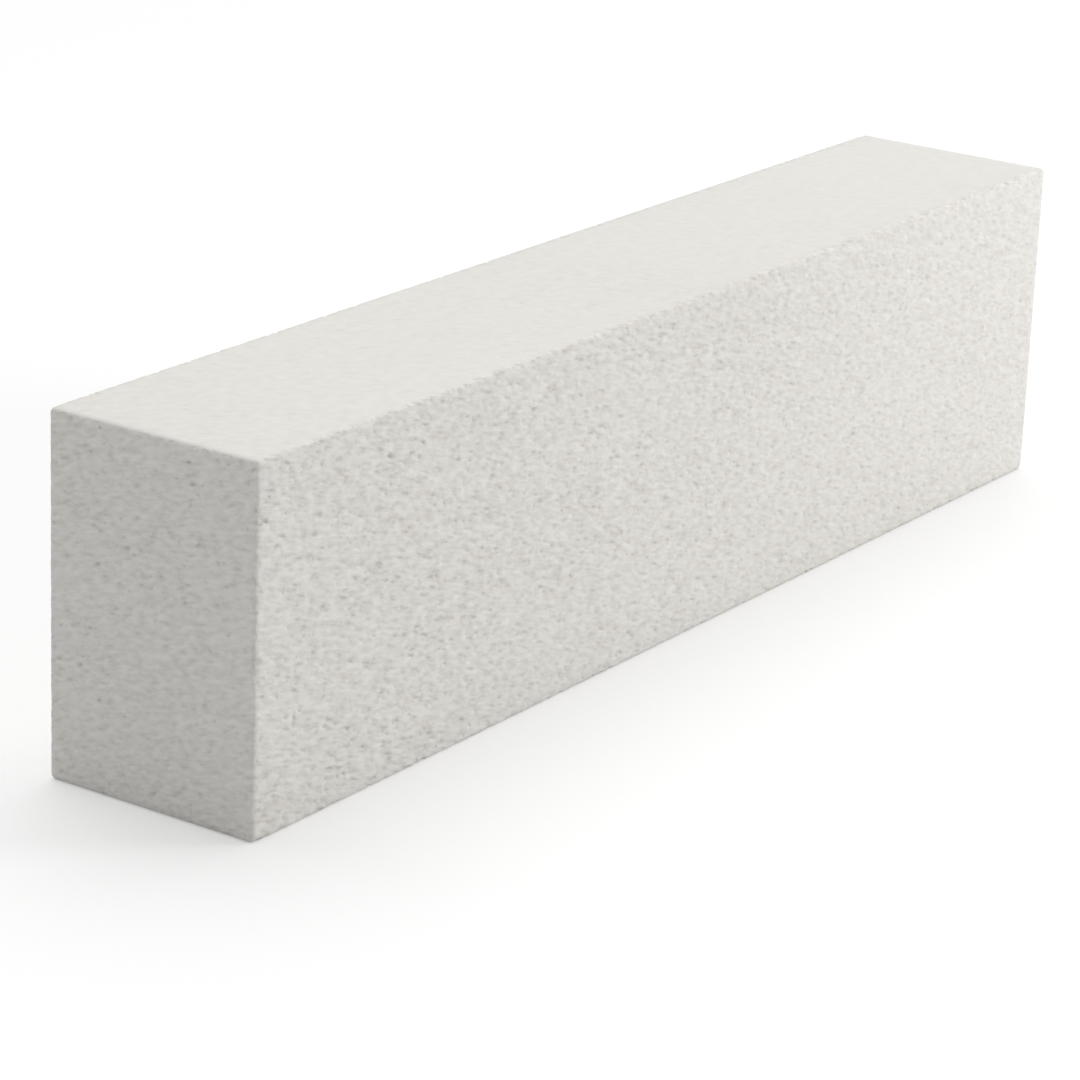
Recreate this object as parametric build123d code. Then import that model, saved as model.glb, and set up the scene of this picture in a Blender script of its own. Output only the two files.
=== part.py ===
from build123d import *

import os

# Autoclaved aerated concrete block, one solid piece of masonry stock.
# The block stands on its narrow bed face, as it is laid in a wall.
# Frame: origin at the centre of the lower bed face, +X along the length,
# +Y through the thickness towards the back, +Z up.  Millimetres.

# Driving dimensions
LENGTH = 600.0  # head face to head face, along the course
THICKNESS = 100.0  # front face to back face, through the wall
HEIGHT = 150.0  # lower bed face to upper bed face
ARRIS_RADIUS = 2.0  # every wire-cut edge is rubbed round by handling

HEAD_PLANE = Plane.YZ.offset(-LENGTH / 2)  # the head face at the -X end


def aerated_block():
    """The wire-cut section, run from head face to head face, with its twelve arrises rounded."""
    with BuildPart() as block:
        with BuildSketch(HEAD_PLANE):
            Rectangle(THICKNESS, HEIGHT, align=(Align.CENTER, Align.MIN))
        extrude(amount=LENGTH)
        fillet(block.edges(), radius=ARRIS_RADIUS)
    return block.part


os.makedirs("parts", exist_ok=True)
export_step(aerated_block(), "parts/aerated_block.step")
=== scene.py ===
import itertools
import math
import random

import bpy
import numpy as np
from mathutils import Matrix, Vector, noise
from mathutils.geometry import delaunay_2d_cdt


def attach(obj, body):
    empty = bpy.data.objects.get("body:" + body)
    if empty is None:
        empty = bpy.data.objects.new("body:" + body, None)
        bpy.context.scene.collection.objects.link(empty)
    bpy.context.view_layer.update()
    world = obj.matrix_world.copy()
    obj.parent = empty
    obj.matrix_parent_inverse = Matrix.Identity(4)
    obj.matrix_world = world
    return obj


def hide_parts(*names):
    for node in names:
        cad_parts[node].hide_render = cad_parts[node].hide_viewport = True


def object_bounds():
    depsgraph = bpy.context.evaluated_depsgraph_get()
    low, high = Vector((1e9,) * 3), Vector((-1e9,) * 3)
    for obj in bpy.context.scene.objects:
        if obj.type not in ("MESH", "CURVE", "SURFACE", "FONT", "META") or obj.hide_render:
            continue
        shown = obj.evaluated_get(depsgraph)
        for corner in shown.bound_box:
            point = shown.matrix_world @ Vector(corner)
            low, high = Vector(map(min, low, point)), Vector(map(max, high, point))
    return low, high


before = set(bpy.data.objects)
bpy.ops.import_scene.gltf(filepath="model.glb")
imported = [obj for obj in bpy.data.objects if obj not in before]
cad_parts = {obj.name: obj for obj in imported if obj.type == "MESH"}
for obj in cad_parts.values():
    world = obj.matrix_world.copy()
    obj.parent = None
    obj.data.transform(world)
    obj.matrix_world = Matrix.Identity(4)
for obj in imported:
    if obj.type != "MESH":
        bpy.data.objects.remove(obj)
cad_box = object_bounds()

# Frame: the block is shaped in millimetres about its own centre, and written in metres
MM = 0.001
NODE = "aerated_block"
BODY = "root"
SEED = 20

BOX_LOW = np.array(cad_box[0])
BOX_HIGH = np.array(cad_box[1])
CENTRE = (BOX_LOW + BOX_HIGH) / 2
HALF = (BOX_HIGH - BOX_LOW) / 2 / MM
LENGTH_AXIS, THICKNESS_AXIS, HEIGHT_AXIS = 0, 1, 2

# Arrises: the rubbed edges, crumbled where a wide face meets them
CROSS_RADIUS = 2.4  # where the beds meet the ends
LONG_RADIUS = 1.4  # where the beds meet the wide faces
UPRIGHT_RADIUS = 2.4  # where the ends meet the wide faces
BLEND_REACH = 9.0  # how far from a corner one radius eases into the next
RADIUS_WANDER = 0.3  # about the most that a radius beside a wide face grows or shrinks
WANDER_LENGTH = 5.0
EDGE_STEP = 1.5  # spacing of the points on the edge itself
ARRIS_BAND = 3.2  # bites reach no further in from an edge than this
BREAK_REACH = (3.2, 6.0)  # how far a broken edge runs into the face beside it, at the -X and the +X end

# The edges along each axis: their deepest crumb, the openness of their finish, how much painted shade
# darkens the deepest crumb
EDGE_GRAIN = {LENGTH_AXIS: 0.34, THICKNESS_AXIS: 0.08, HEIGHT_AXIS: 0.2}
EDGE_OPEN = {LENGTH_AXIS: 1.0, THICKNESS_AXIS: 0.3, HEIGHT_AXIS: 1.0}
EDGE_PAINTED_SHADE = {LENGTH_AXIS: 1.6, THICKNESS_AXIS: 0.0, HEIGHT_AXIS: 0.0}

# Rows of points round each face: (distance in from the edge, spacing)
EDGE_ROWS = ((0.5, 1.5), (1.1, 1.6), (1.9, 2.2), (3.0, 3.0), (4.4, 4.0))
ROW_JITTER = 0.25  # share of the spacing

# Bites: burst pores along the long edges
BITE_SPACING = 10.0  # on average
BITE_RADIUS = (0.6, 1.3)
BITE_DEEPEST = 0.4
BITE_OFFSET = 0.8  # how far inside the edge a bite's middle may lie

# The cut draws pores and finish out into flat flecks, which lie on a slant
CUT_STRETCH = (2.5, 2.1, 0.8)
CUT_TILT = (math.radians(-14), math.radians(17), 0)

# Kinds of face, each with
# count, radius, depth, oval: its pores, their depth as a share of the radius, and length as one of the width
# painted_shade: how much painted shade darkens the floor of a pore
# grain, grain_depth, grain_painted_shade: its spacing along and across the cut, its deepest, and how much
# painted shade darkens that
# open: the openness of the finish
# drawn_along, lean: the axis along which the cut draws everything out, and how far the pores slant from it
# edge: the axis of its broken edges
WIDE_FACE = {
    "count": 2300, "radius": (0.7, 1.8), "depth": (0.16, 0.32), "oval": (1.8, 2.6), "painted_shade": 1.0,
    "grain": (2.8, 1.7), "grain_depth": 0.30, "grain_painted_shade": 0.85, "open": 1.0,
    "drawn_along": LENGTH_AXIS, "lean": CUT_TILT[1], "edge": LENGTH_AXIS,
}
END_FACE = {
    "count": 420, "radius": (0.7, 1.8), "depth": (0.14, 0.30), "oval": (1.4, 2.0), "painted_shade": 0.5,
    "grain": (3.6, 2.7), "grain_depth": 0.5, "grain_painted_shade": 0.0, "open": 0.85,
    "drawn_along": THICKNESS_AXIS, "lean": CUT_TILT[0], "edge": HEIGHT_AXIS,
}
BED_FACE = {
    "count": 0, "grain": (14.0, 14.0), "grain_depth": 0.0, "grain_painted_shade": 0.0, "open": 0.34,
    "drawn_along": LENGTH_AXIS, "edge": LENGTH_AXIS,
}
FACE_KIND = {LENGTH_AXIS: END_FACE, THICKNESS_AXIS: WIDE_FACE, HEIGHT_AXIS: BED_FACE}
FAR_EASE = 0.33  # how much calmer the cut is at the +X end

# Grain: points strewn between the pores
GRAIN_SKEW = 2.2  # most of the grain is shallow
GRAIN_JITTER = 0.36  # share of the grain's spacing
GRAIN_STAGGER = 0.25  # share of the spacing by which rows shift, to either side in turn

# Triangulation of a face
MERGE_DISTANCE = 1e-6  # points closer than this become one
CONVEX_HULL = 0  # its kind: all that lies between the outermost points

# Pores
RADIUS_SKEW = 1.7  # more small pores than wide ones
CLUSTER_LENGTH = 28.0  # from one crowd of pores to the next
CLUSTER_SPREAD = 0.8  # the wider, the less they crowd
PORE_GAP = 0.3  # least web between two pores
EDGE_WEB = 0.35  # least web between a pore and the edge
SMALL_PORE = 0.8  # a pore with a lesser radius is small
WIDE_PORE = 1.2  # a pore with a greater radius is wide, and has a floor instead of a lowest point
RIM_SIDES = {"small": 5, "middle": 6, "wide": 8}
FLOOR_SIDES = 4
FLOOR_SHARE = 0.5  # floor ring, as a share of the rim's radius
FLOOR_DEPTH = (0.8, 1.0)  # depth of the floor's points, as a share of the pore's
PORE_LEAN = math.radians(18)  # the most that a pore leans out of the cut
RIM_WOBBLE = 0.16
THROW_TRIES = 60  # places tried for a pore before it is left out

# Finish of the concrete: tones as linear colour, lengths of its patterns and heights in metres
TONES = (
    (0.0, (0.560, 0.540, 0.505, 1)), (0.25, (0.690, 0.668, 0.630, 1)),
    (0.5, (0.765, 0.745, 0.708, 1)), (0.75, (0.825, 0.808, 0.775, 1)),
)
TONE_MIDDLE = 0.525  # where a plain spot lies on the scale of tones
SMOOTH_ROUGHNESS, OPEN_ROUGHNESS = 0.84, 0.96  # at no openness and at full openness
SPECULAR = 0.22
NOISE_MIDDLE, NOISE_DETAIL = 0.5, 2.0
CLOUD_LENGTH, CLOUD_SHARE = 0.110, 0.22
PATCH_LENGTH, PATCH_SHARE = 0.012, 0.07
EASE_LENGTH, EASE_SHARE = 0.022, 0.65  # how the openness comes and goes over a face
SPECKLE_LENGTH, SPECKLE_SHARE = 0.0022, 1.22
SAND_LENGTH, SAND_HEIGHT = 0.0017, 0.00016
FINE_PORE_LENGTH, FINE_PORE_DEPTH = 0.0026, 0.00022
FINE_PORE_WALL = (0.05, 0.6)  # from floor to rim, as a share of the pore's length
# painted shade, in steps of tone, at the middle of a fine pore
FINE_PORE_PAINTED_SHADE = 0.32
# painted shade, in steps of tone, on pore floors, deep grain and crumbled edges
PAINTED_SHADE_STRENGTH = 0.25

# Camera, as fitted to the block's edges in the photograph: degrees, metres, lens and sensor in millimetres
VIEW_AZIMUTH = -55.90
VIEW_ELEVATION = 19.07
VIEW_ROLL = 2.26
VIEW_DISTANCE = 1.7436
VIEW_TARGET = Vector((-0.0253, 0.0120, 0.0339))
LENS = 134.94
SENSOR = 36.0

# Light and floor, in metres
WHITE = (1, 1, 1, 1)
SKY = 0.525  # its strength as a light
BACKDROP = 1.0  # its strength where it is seen, straight or in gloss
SUN_STRENGTH = 1.437
SUN_FROM = Vector((0.30, 0.22, 0.90))
SUN_SOFTNESS = math.radians(60)
SIDE_PLACE = Vector((1.20, -1.50, 0.50))
SIDE_AIM = Vector((0.25, 0.0, 0.08))
SIDE_SIZE = 0.6
SIDE_POWER = 15.36
FLOOR_HALF = 15.0
FLOOR_COLOUR = (0.70, 0.70, 0.70, 1)
FLOOR_LIFT = 0.30  # glow on top of the floor's own shade, where it is seen, straight or in gloss


class Skin:
    """The block's surface as it grows: points on the sharp box, how deep each is sunk, and triangles."""

    def __init__(self):
        self.points = []
        self.depths = []
        self.opens = []
        # how much painted shade darkens each point
        self.painted_shades = []
        self.triangles = []
        self.pore_count = 0

    def add(self, point, openness, depth=0.0, painted_shade=0.0):
        self.points.append(tuple(point))
        self.depths.append(depth)
        self.opens.append(openness)
        self.painted_shades.append(painted_shade)
        return len(self.points) - 1


class Plot:
    """A hash grid of round plots on one face, to keep pores and points clear of each other."""

    CELL = 4.0  # wider than the largest pore and the gap beside it

    def __init__(self):
        self.cells = {}

    def key(self, u, v):
        return math.floor(u / self.CELL), math.floor(v / self.CELL)

    def add(self, u, v, radius):
        self.cells.setdefault(self.key(u, v), []).append((u, v, radius))

    def clear(self, u, v, reach):
        column, row = self.key(u, v)
        for i, j in itertools.product((column - 1, column, column + 1), (row - 1, row, row + 1)):
            for other_u, other_v, radius in self.cells.get((i, j), ()):
                if math.hypot(u - other_u, v - other_v) < radius + reach:
                    return False
        return True


def add_edges(skin, rng):
    """The eight corners and the points along the twelve edges, which the faces share."""
    for signs in itertools.product((-1, 1), repeat=3):
        skin.add(HALF * signs, EDGE_OPEN[HEIGHT_AXIS])
    for axis in range(3):
        others = [a for a in range(3) if a != axis]
        spans = round(2 * HALF[axis] / EDGE_STEP)
        step = 2 * HALF[axis] / spans
        for side_a, side_b in itertools.product((-1, 1), repeat=2):
            for i in range(1, spans):
                point = [0.0, 0.0, 0.0]
                point[axis] = -HALF[axis] + step * (i + rng.uniform(-ROW_JITTER, ROW_JITTER))
                point[others[0]] = side_a * HALF[others[0]]
                point[others[1]] = side_b * HALF[others[1]]
                crumb = rng.random() ** GRAIN_SKEW
                # painted shade: the deeper a crumb on an edge, the darker it is painted
                skin.add(point, EDGE_OPEN[axis], EDGE_GRAIN[axis] * crumb, EDGE_PAINTED_SHADE[axis] * crumb)


def pore_radius(kind, rng):
    """A radius between the smallest and the largest of this kind of face, more often a small one."""
    smallest, largest = kind["radius"]
    return smallest + (largest - smallest) * rng.random() ** RADIUS_SKEW


def throw_pores(kind, half_u, half_v, place, rng):
    """Pores (u, v, radius) at random that don't touch, in loose clusters, the widest thrown first."""
    radii = [pore_radius(kind, rng) for _ in range(kind["count"])]
    plot = Plot()
    pores = []
    for radius in sorted(radii, reverse=True):
        room_u = half_u - radius - EDGE_WEB
        room_v = half_v - radius - EDGE_WEB
        for _ in range(THROW_TRIES):
            u, v = rng.uniform(-room_u, room_u), rng.uniform(-room_v, room_v)
            crowd = noise.noise(Vector(place(u, v)) / CLUSTER_LENGTH)
            if crowd > rng.uniform(-CLUSTER_SPREAD, CLUSTER_SPREAD) and plot.clear(u, v, radius + PORE_GAP):
                plot.add(u, v, radius)
                pores.append((u, v, radius))
                break
    return pores, plot


def ring(u, v, radius, sides, oval, lean, rng):
    """An uneven oval ring of points about a pore's middle, none further out than its radius."""
    turn = rng.uniform(0, math.tau)
    points = []
    for i in range(sides):
        angle = turn + math.tau * (i + rng.uniform(-RIM_WOBBLE, RIM_WOBBLE)) / sides
        reach = radius * (1 - rng.uniform(0, RIM_WOBBLE))
        along, across = reach * math.cos(angle), reach * math.sin(angle) / oval
        points.append((
            u + along * math.cos(lean) - across * math.sin(lean),
            v + along * math.sin(lean) + across * math.cos(lean),
        ))
    return points


def edge_rows(half_u, half_v, plot, rng):
    """Rows of points round a face, closer together towards its edges, where no pore is."""
    for inset, spacing in EDGE_ROWS:
        room_u, room_v = half_u - inset, half_v - inset
        corners = [(-room_u, -room_v), (room_u, -room_v), (room_u, room_v), (-room_u, room_v)]
        for (u0, v0), (u1, v1) in zip(corners, corners[1:] + corners[:1]):
            spans = round(math.hypot(u1 - u0, v1 - v0) / spacing)
            for i in range(spans):
                jitter = rng.uniform(-ROW_JITTER, ROW_JITTER) if i else 0.0
                share = (i + jitter) / spans
                u, v = u0 + (u1 - u0) * share, v0 + (v1 - v0) * share
                if plot.clear(u, v, PORE_GAP):
                    yield u, v


def grain_points(step_u, step_v, half_u, half_v, plot, rng):
    """Points strewn over a face between its pores, for the unevenness of the cut."""
    margin = EDGE_ROWS[-1][0]
    columns = math.floor(2 * (half_u - margin) / step_u - 1 - 2 * GRAIN_JITTER)
    rows = math.floor(2 * (half_v - margin) / step_v - 1 - 2 * GRAIN_JITTER)
    for row, column in itertools.product(range(rows + 1), range(columns + 1)):
        stagger = GRAIN_STAGGER if row % 2 else -GRAIN_STAGGER
        u = (column - columns / 2 + stagger + rng.uniform(-GRAIN_JITTER, GRAIN_JITTER)) * step_u
        v = (row - rows / 2 + rng.uniform(-GRAIN_JITTER, GRAIN_JITTER)) * step_v
        if plot.clear(u, v, PORE_GAP):
            yield u, v


def add_face(skin, axis, side, shared, rng):
    """One face of the box: its share of the edges, and pores and grain inside them, all triangulated."""
    kind = FACE_KIND[axis]
    u_axis, v_axis = (axis + 1) % 3, (axis + 2) % 3
    half_u, half_v = HALF[u_axis], HALF[v_axis]
    along_u = kind["drawn_along"] == u_axis
    drawn = 0.0 if along_u else math.pi / 2
    step_u, step_v = kind["grain"] if along_u else kind["grain"][::-1]

    def place(u, v):
        point = [0.0, 0.0, 0.0]
        point[axis], point[u_axis], point[v_axis] = side * HALF[axis], u, v
        return point

    def add(u, v, sunk=0.0, painted_shade=0.0):
        """A point with its share of the grain, broken open near a wide face and calmer at the +X end."""
        point = place(u, v)
        from_wide = HALF[THICKNESS_AXIS] - abs(point[THICKNESS_AXIS])
        along = (1 + point[LENGTH_AXIS] / HALF[LENGTH_AXIS]) / 2
        reach = BREAK_REACH[0] + (BREAK_REACH[1] - BREAK_REACH[0]) * along
        broken = 0.0 if kind is WIDE_FACE else max(0.0, 1 - from_wide / reach)
        eased = 1 - FAR_EASE * along
        crumb = rng.random() ** GRAIN_SKEW
        openness = max(kind["open"], WIDE_FACE["open"] * broken)
        grain = max(kind["grain_depth"], EDGE_GRAIN[kind["edge"]] * broken) * crumb
        # painted shade on pore floors and deep grain, calmer at the +X end
        face_painted_shade = max(painted_shade, kind["grain_painted_shade"] * crumb) * eased
        # painted shade on the crumbs of a broken edge
        edge_painted_shade = EDGE_PAINTED_SHADE[kind["edge"]] * broken * crumb
        return skin.add(point, openness * eased, (grain + sunk) * eased, max(face_painted_shade, edge_painted_shade))

    pores, plot = throw_pores(kind, half_u, half_v, place, rng)
    members = [i for i in range(shared) if skin.points[i][axis] == side * HALF[axis]]
    rim_edges = []
    for u, v, radius in pores:
        depth = radius * rng.uniform(*kind["depth"])
        size = "small" if radius < SMALL_PORE else "wide" if radius > WIDE_PORE else "middle"
        sides = RIM_SIDES[size]
        first = len(members)
        oval = rng.uniform(*kind["oval"])
        lean = drawn + kind["lean"] + rng.uniform(-PORE_LEAN, PORE_LEAN)
        members += [add(*point) for point in ring(u, v, radius, sides, oval, lean, rng)]
        rim_edges += [(first + i, first + (i + 1) % sides) for i in range(sides)]
        skin.pore_count += 1
        # the floor of each pore gets painted shade
        if size == "wide":
            floor = ring(u, v, radius * FLOOR_SHARE, FLOOR_SIDES, oval, lean, rng)
            members += [add(*point, depth * rng.uniform(*FLOOR_DEPTH), kind["painted_shade"]) for point in floor]
        else:
            members.append(add(u, v, depth, kind["painted_shade"]))
    members += [add(*point) for point in edge_rows(half_u, half_v, plot, rng)]
    members += [add(*point) for point in grain_points(step_u, step_v, half_u, half_v, plot, rng)]

    flat = [(skin.points[i][u_axis], skin.points[i][v_axis]) for i in members]
    _, _, found, origins, _, _ = delaunay_2d_cdt(flat, rim_edges, [], CONVEX_HULL, MERGE_DISTANCE)
    back = [members[origin[0]] for origin in origins]
    for corners in found:
        triangle = [back[i] for i in corners]
        skin.triangles.append(triangle if side > 0 else triangle[::-1])


def arris_radius(sharp):
    """How far each point's nearest edge is rubbed round, wandering a little beside the wide faces."""
    inset = HALF - np.abs(sharp)
    near = np.clip(1 - inset / BLEND_REACH, 0, 1)
    by_wide, by_end = near[:, THICKNESS_AXIS], near[:, LENGTH_AXIS]
    wander = np.array([noise.noise(Vector(point) / WANDER_LENGTH) for point in sharp])
    beside_wide = LONG_RADIUS + (UPRIGHT_RADIUS - LONG_RADIUS) * by_end + RADIUS_WANDER * wander
    return CROSS_RADIUS + (beside_wide - CROSS_RADIUS) * by_wide


def rounded(sharp, radius):
    """Points of the sharp box moved to a box with rounded edges, and the outward direction at each."""
    core_half = HALF - radius[:, None]
    core = np.clip(sharp, -core_half, core_half)
    outward = sharp - core
    outward /= np.linalg.norm(outward, axis=1, keepdims=True)
    return core + outward * radius[:, None], outward


def bite_edges(sharp, places, outward, rng):
    """Burst pores along the long edges: points inside each ball are sunk to its wall."""
    inset = HALF - np.abs(sharp)
    near = (inset[:, THICKNESS_AXIS] < ARRIS_BAND) & (inset[:, HEIGHT_AXIS] < ARRIS_BAND)
    arris = np.nonzero(near)[0]
    spots, ways = places[arris], outward[arris]
    sunk = np.zeros(len(arris))
    for side_y, side_z in itertools.product((-1, 1), repeat=2):
        at = -HALF[LENGTH_AXIS]
        while at < HALF[LENGTH_AXIS]:
            ball = rng.uniform(*BITE_RADIUS)
            middle = (
                at,
                side_y * (HALF[THICKNESS_AXIS] - rng.uniform(0, BITE_OFFSET)),
                side_z * (HALF[HEIGHT_AXIS] - rng.uniform(0, BITE_OFFSET)),
            )
            offset = spots - middle
            apart = np.einsum("ij,ij->i", offset, offset)
            along = np.einsum("ij,ij->i", offset, ways)
            depth = along + np.sqrt(np.maximum(along ** 2 - apart + ball ** 2, 0))
            depth = np.where(apart < ball ** 2, np.minimum(depth, BITE_DEEPEST), 0)
            sunk = np.maximum(sunk, depth)
            at += rng.expovariate(1 / BITE_SPACING)
    places[arris] = spots - ways * sunk[:, None]


def block_mesh():
    """The whole skin as one closed mesh, in metres in the shared frame."""
    rng = random.Random(SEED)
    skin = Skin()
    add_edges(skin, rng)
    shared = len(skin.points)
    for axis, side in itertools.product(range(3), (-1, 1)):
        add_face(skin, axis, side, shared, rng)

    sharp = np.array(skin.points)
    places, outward = rounded(sharp, arris_radius(sharp))
    bite_edges(sharp, places, outward, rng)
    places -= outward * np.array(skin.depths)[:, None]

    mesh = bpy.data.meshes.new(NODE)
    mesh.from_pydata((CENTRE + places * MM).tolist(), [], skin.triangles)
    mesh.polygons.foreach_set("use_smooth", np.ones(len(mesh.polygons), dtype=bool))

    for name, values in (("openness", skin.opens), ("painted_shade", skin.painted_shades)):
        attribute = mesh.attributes.new(name, "FLOAT", "POINT")
        attribute.data.foreach_set("value", np.array(values, dtype=np.float32))
    mesh.update()
    points, triangles = len(mesh.vertices), len(mesh.polygons)
    print("block mesh:", points, "points,", triangles, "triangles,", skin.pore_count, "pores")
    return mesh


def add_node(tree, kind, inputs=None, **settings):
    """A new shader node with its settings and inputs filled in; an input may be another node's output."""
    made = tree.nodes.new("ShaderNode" + kind)
    for name, value in settings.items():
        setattr(made, name, value)
    for name, value in (inputs or {}).items():
        if isinstance(value, bpy.types.NodeSocket):
            tree.links.new(value, made.inputs[name])
        else:
            made.inputs[name].default_value = value
    return made


def add_math(tree, operation, *terms):
    return add_node(tree, "Math", dict(enumerate(terms)), operation=operation).outputs[0]


def add_noise(tree, where, length):
    """Noise about nought, with features of the given length."""
    made = add_node(tree, "TexNoise", {"Vector": where, "Scale": 1 / length, "Detail": NOISE_DETAIL})
    return add_math(tree, "SUBTRACT", made.outputs["Fac"], NOISE_MIDDLE)


def fine_pores(tree, where, openness):
    """Pores too fine for the mesh: nought between them, and up to the openness at their middles."""
    cells = add_node(tree, "TexVoronoi", {"Vector": where, "Scale": 1 / FINE_PORE_LENGTH})
    wall = add_node(tree, "MapRange", {
        "Value": cells.outputs["Distance"], "From Min": FINE_PORE_WALL[0], "From Max": FINE_PORE_WALL[1],
        "To Min": 1.0, "To Max": 0.0,
    }, interpolation_type="SMOOTHSTEP")
    chance = add_node(tree, "SeparateColor", {"Color": cells.outputs["Color"]}).outputs["Red"]
    pore = add_math(tree, "MULTIPLY", wall.outputs["Result"], chance)
    return add_math(tree, "MULTIPLY", pore, openness)


def tone_colour(tree, tone):
    """The colour at a place on the scale of tones."""
    ramp = add_node(tree, "ValToRGB", {"Fac": tone})
    stops = ramp.color_ramp.elements
    while len(stops) < len(TONES):
        stops.new(1.0)
    for stop, (position, colour) in zip(stops, TONES):
        stop.position, stop.color = position, colour
    return ramp.outputs["Color"]


def concrete():
    """Pale warm grey mineral, matte: cloudy tone, speckle, sandy grain and pores too fine for the mesh, with
    painted shade in pores, deep grain and crumbs.
    """
    material = bpy.data.materials.new("aerated_concrete")
    material.use_nodes = True
    tree = material.node_tree
    shader = tree.nodes["Principled BSDF"]
    shader.inputs["Specular IOR Level"].default_value = SPECULAR

    place = add_node(tree, "TexCoord").outputs["Object"]
    drawn = {"Vector": place, "Rotation": CUT_TILT, "Scale": CUT_STRETCH}
    where = add_node(tree, "Mapping", drawn, vector_type="TEXTURE").outputs["Vector"]
    openness = add_node(tree, "Attribute", attribute_name="openness").outputs["Fac"]
    ease = add_math(tree, "MULTIPLY_ADD", add_noise(tree, where, EASE_LENGTH), EASE_SHARE, 1.0)
    openness = add_math(tree, "MULTIPLY", openness, ease)
    # how much painted shade each point of the mesh asks for
    painted_shade = add_node(tree, "Attribute", attribute_name="painted_shade").outputs["Fac"]
    matte = {"Value": openness, "To Min": SMOOTH_ROUGHNESS, "To Max": OPEN_ROUGHNESS}
    rough = add_node(tree, "MapRange", matte).outputs["Result"]
    tree.links.new(rough, shader.inputs["Roughness"])
    pore = fine_pores(tree, where, openness)

    cloud = add_math(tree, "MULTIPLY_ADD", add_noise(tree, where, CLOUD_LENGTH), CLOUD_SHARE, TONE_MIDDLE)
    patch = add_math(tree, "MULTIPLY_ADD", add_noise(tree, where, PATCH_LENGTH), PATCH_SHARE, cloud)
    speckle = add_math(tree, "MULTIPLY", add_noise(tree, where, SPECKLE_LENGTH), openness)
    tone = add_math(tree, "MULTIPLY_ADD", speckle, SPECKLE_SHARE, patch)
    # painted shade in the fine pores
    tone = add_math(tree, "MULTIPLY_ADD", pore, -FINE_PORE_PAINTED_SHADE, tone)
    # painted shade on pore floors, deep grain and crumbled edges
    tone = add_math(tree, "MULTIPLY_ADD", painted_shade, -PAINTED_SHADE_STRENGTH, tone)
    tree.links.new(tone_colour(tree, tone), shader.inputs["Base Color"])

    sand = add_math(tree, "MULTIPLY", add_noise(tree, where, SAND_LENGTH), openness)
    sand = add_math(tree, "MULTIPLY", sand, SAND_HEIGHT)
    relief = add_math(tree, "MULTIPLY_ADD", pore, -FINE_PORE_DEPTH, sand)
    bump = add_node(tree, "Bump", {"Height": relief, "Strength": 1.0, "Distance": 1.0})
    tree.links.new(bump.outputs["Normal"], shader.inputs["Normal"])
    return material


def add_object(name, data):
    made = bpy.data.objects.new(name, data)
    bpy.context.collection.objects.link(made)
    return made


def add_block():
    """The skin, which is shown in place of the CAD node."""
    block = add_object("aerated_block_skin", block_mesh())
    block.data.materials.append(concrete())
    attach(block, BODY)
    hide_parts(NODE)


def seen_ray(tree):
    """One for a ray that shows the background, straight or in gloss or glass, and nought for its light."""
    path = add_node(tree, "LightPath")
    shown = add_math(tree, "MAXIMUM", path.outputs["Is Camera Ray"], path.outputs["Is Glossy Ray"])
    return add_math(tree, "MAXIMUM", shown, path.outputs["Is Transmission Ray"])


def add_floor():
    """A pale floor, which the camera sees as white where no shadow falls."""
    mesh = bpy.data.meshes.new("floor")
    corners = [(x * FLOOR_HALF, y * FLOOR_HALF, 0) for x, y in ((-1, -1), (1, -1), (1, 1), (-1, 1))]
    mesh.from_pydata(corners, [], [(0, 1, 2, 3)])
    material = bpy.data.materials.new("floor")
    material.use_nodes = True
    tree = material.node_tree
    shader = tree.nodes["Principled BSDF"]
    shader.inputs["Base Color"].default_value = FLOOR_COLOUR
    shader.inputs["Roughness"].default_value = 1.0
    shader.inputs["Specular IOR Level"].default_value = 0.0
    shader.inputs["Emission Color"].default_value = WHITE
    lift = add_math(tree, "MULTIPLY", seen_ray(tree), FLOOR_LIFT)
    tree.links.new(lift, shader.inputs["Emission Strength"])
    mesh.materials.append(material)
    add_object("floor", mesh)


def add_lamp(name, place, aim, size, power):
    """A square soft lamp that looks at a point."""
    lamp = bpy.data.lights.new(name, "AREA")
    lamp.energy = power
    lamp.size = size
    holder = add_object(name, lamp)
    holder.location = place
    holder.rotation_mode = "QUATERNION"
    holder.rotation_quaternion = (place - aim).to_track_quat("Z", "Y")


def add_light():
    """Even sky, a broad soft sun from high up behind the block, and a lamp off to the right of the view."""
    world = bpy.data.worlds.new("studio")
    bpy.context.scene.world = world
    world.use_nodes = True
    tree = world.node_tree
    sky = tree.nodes["Background"]
    sky.inputs["Color"].default_value = WHITE
    level = add_node(tree, "MapRange", {"Value": seen_ray(tree), "To Min": SKY, "To Max": BACKDROP})
    tree.links.new(level.outputs["Result"], sky.inputs["Strength"])

    sun = bpy.data.lights.new("sun", "SUN")
    sun.energy = SUN_STRENGTH
    sun.angle = SUN_SOFTNESS
    holder = add_object("sun", sun)
    holder.rotation_mode = "QUATERNION"
    holder.rotation_quaternion = SUN_FROM.to_track_quat("Z", "Y")

    add_lamp("side", SIDE_PLACE, SIDE_AIM, SIDE_SIZE, SIDE_POWER)


def add_camera():
    """The photograph's view: turned from -Y about the height, raised above the floor, and rolled."""
    azimuth, elevation = math.radians(VIEW_AZIMUTH), math.radians(VIEW_ELEVATION)
    back = Vector((
        math.sin(azimuth) * math.cos(elevation),
        -math.cos(azimuth) * math.cos(elevation),
        math.sin(elevation),
    ))
    data = bpy.data.cameras.new("camera")
    data.lens = LENS
    data.sensor_width = SENSOR
    camera = add_object("camera", data)
    level = (-back).to_track_quat("-Z", "Y").to_matrix().to_4x4()
    tilt = Matrix.Rotation(math.radians(VIEW_ROLL), 4, "Z")
    camera.matrix_world = Matrix.Translation(VIEW_TARGET + back * VIEW_DISTANCE) @ level @ tilt
    bpy.context.scene.camera = camera


add_block()
add_floor()
add_light()
add_camera()
bpy.context.scene.view_settings.view_transform = "Standard"
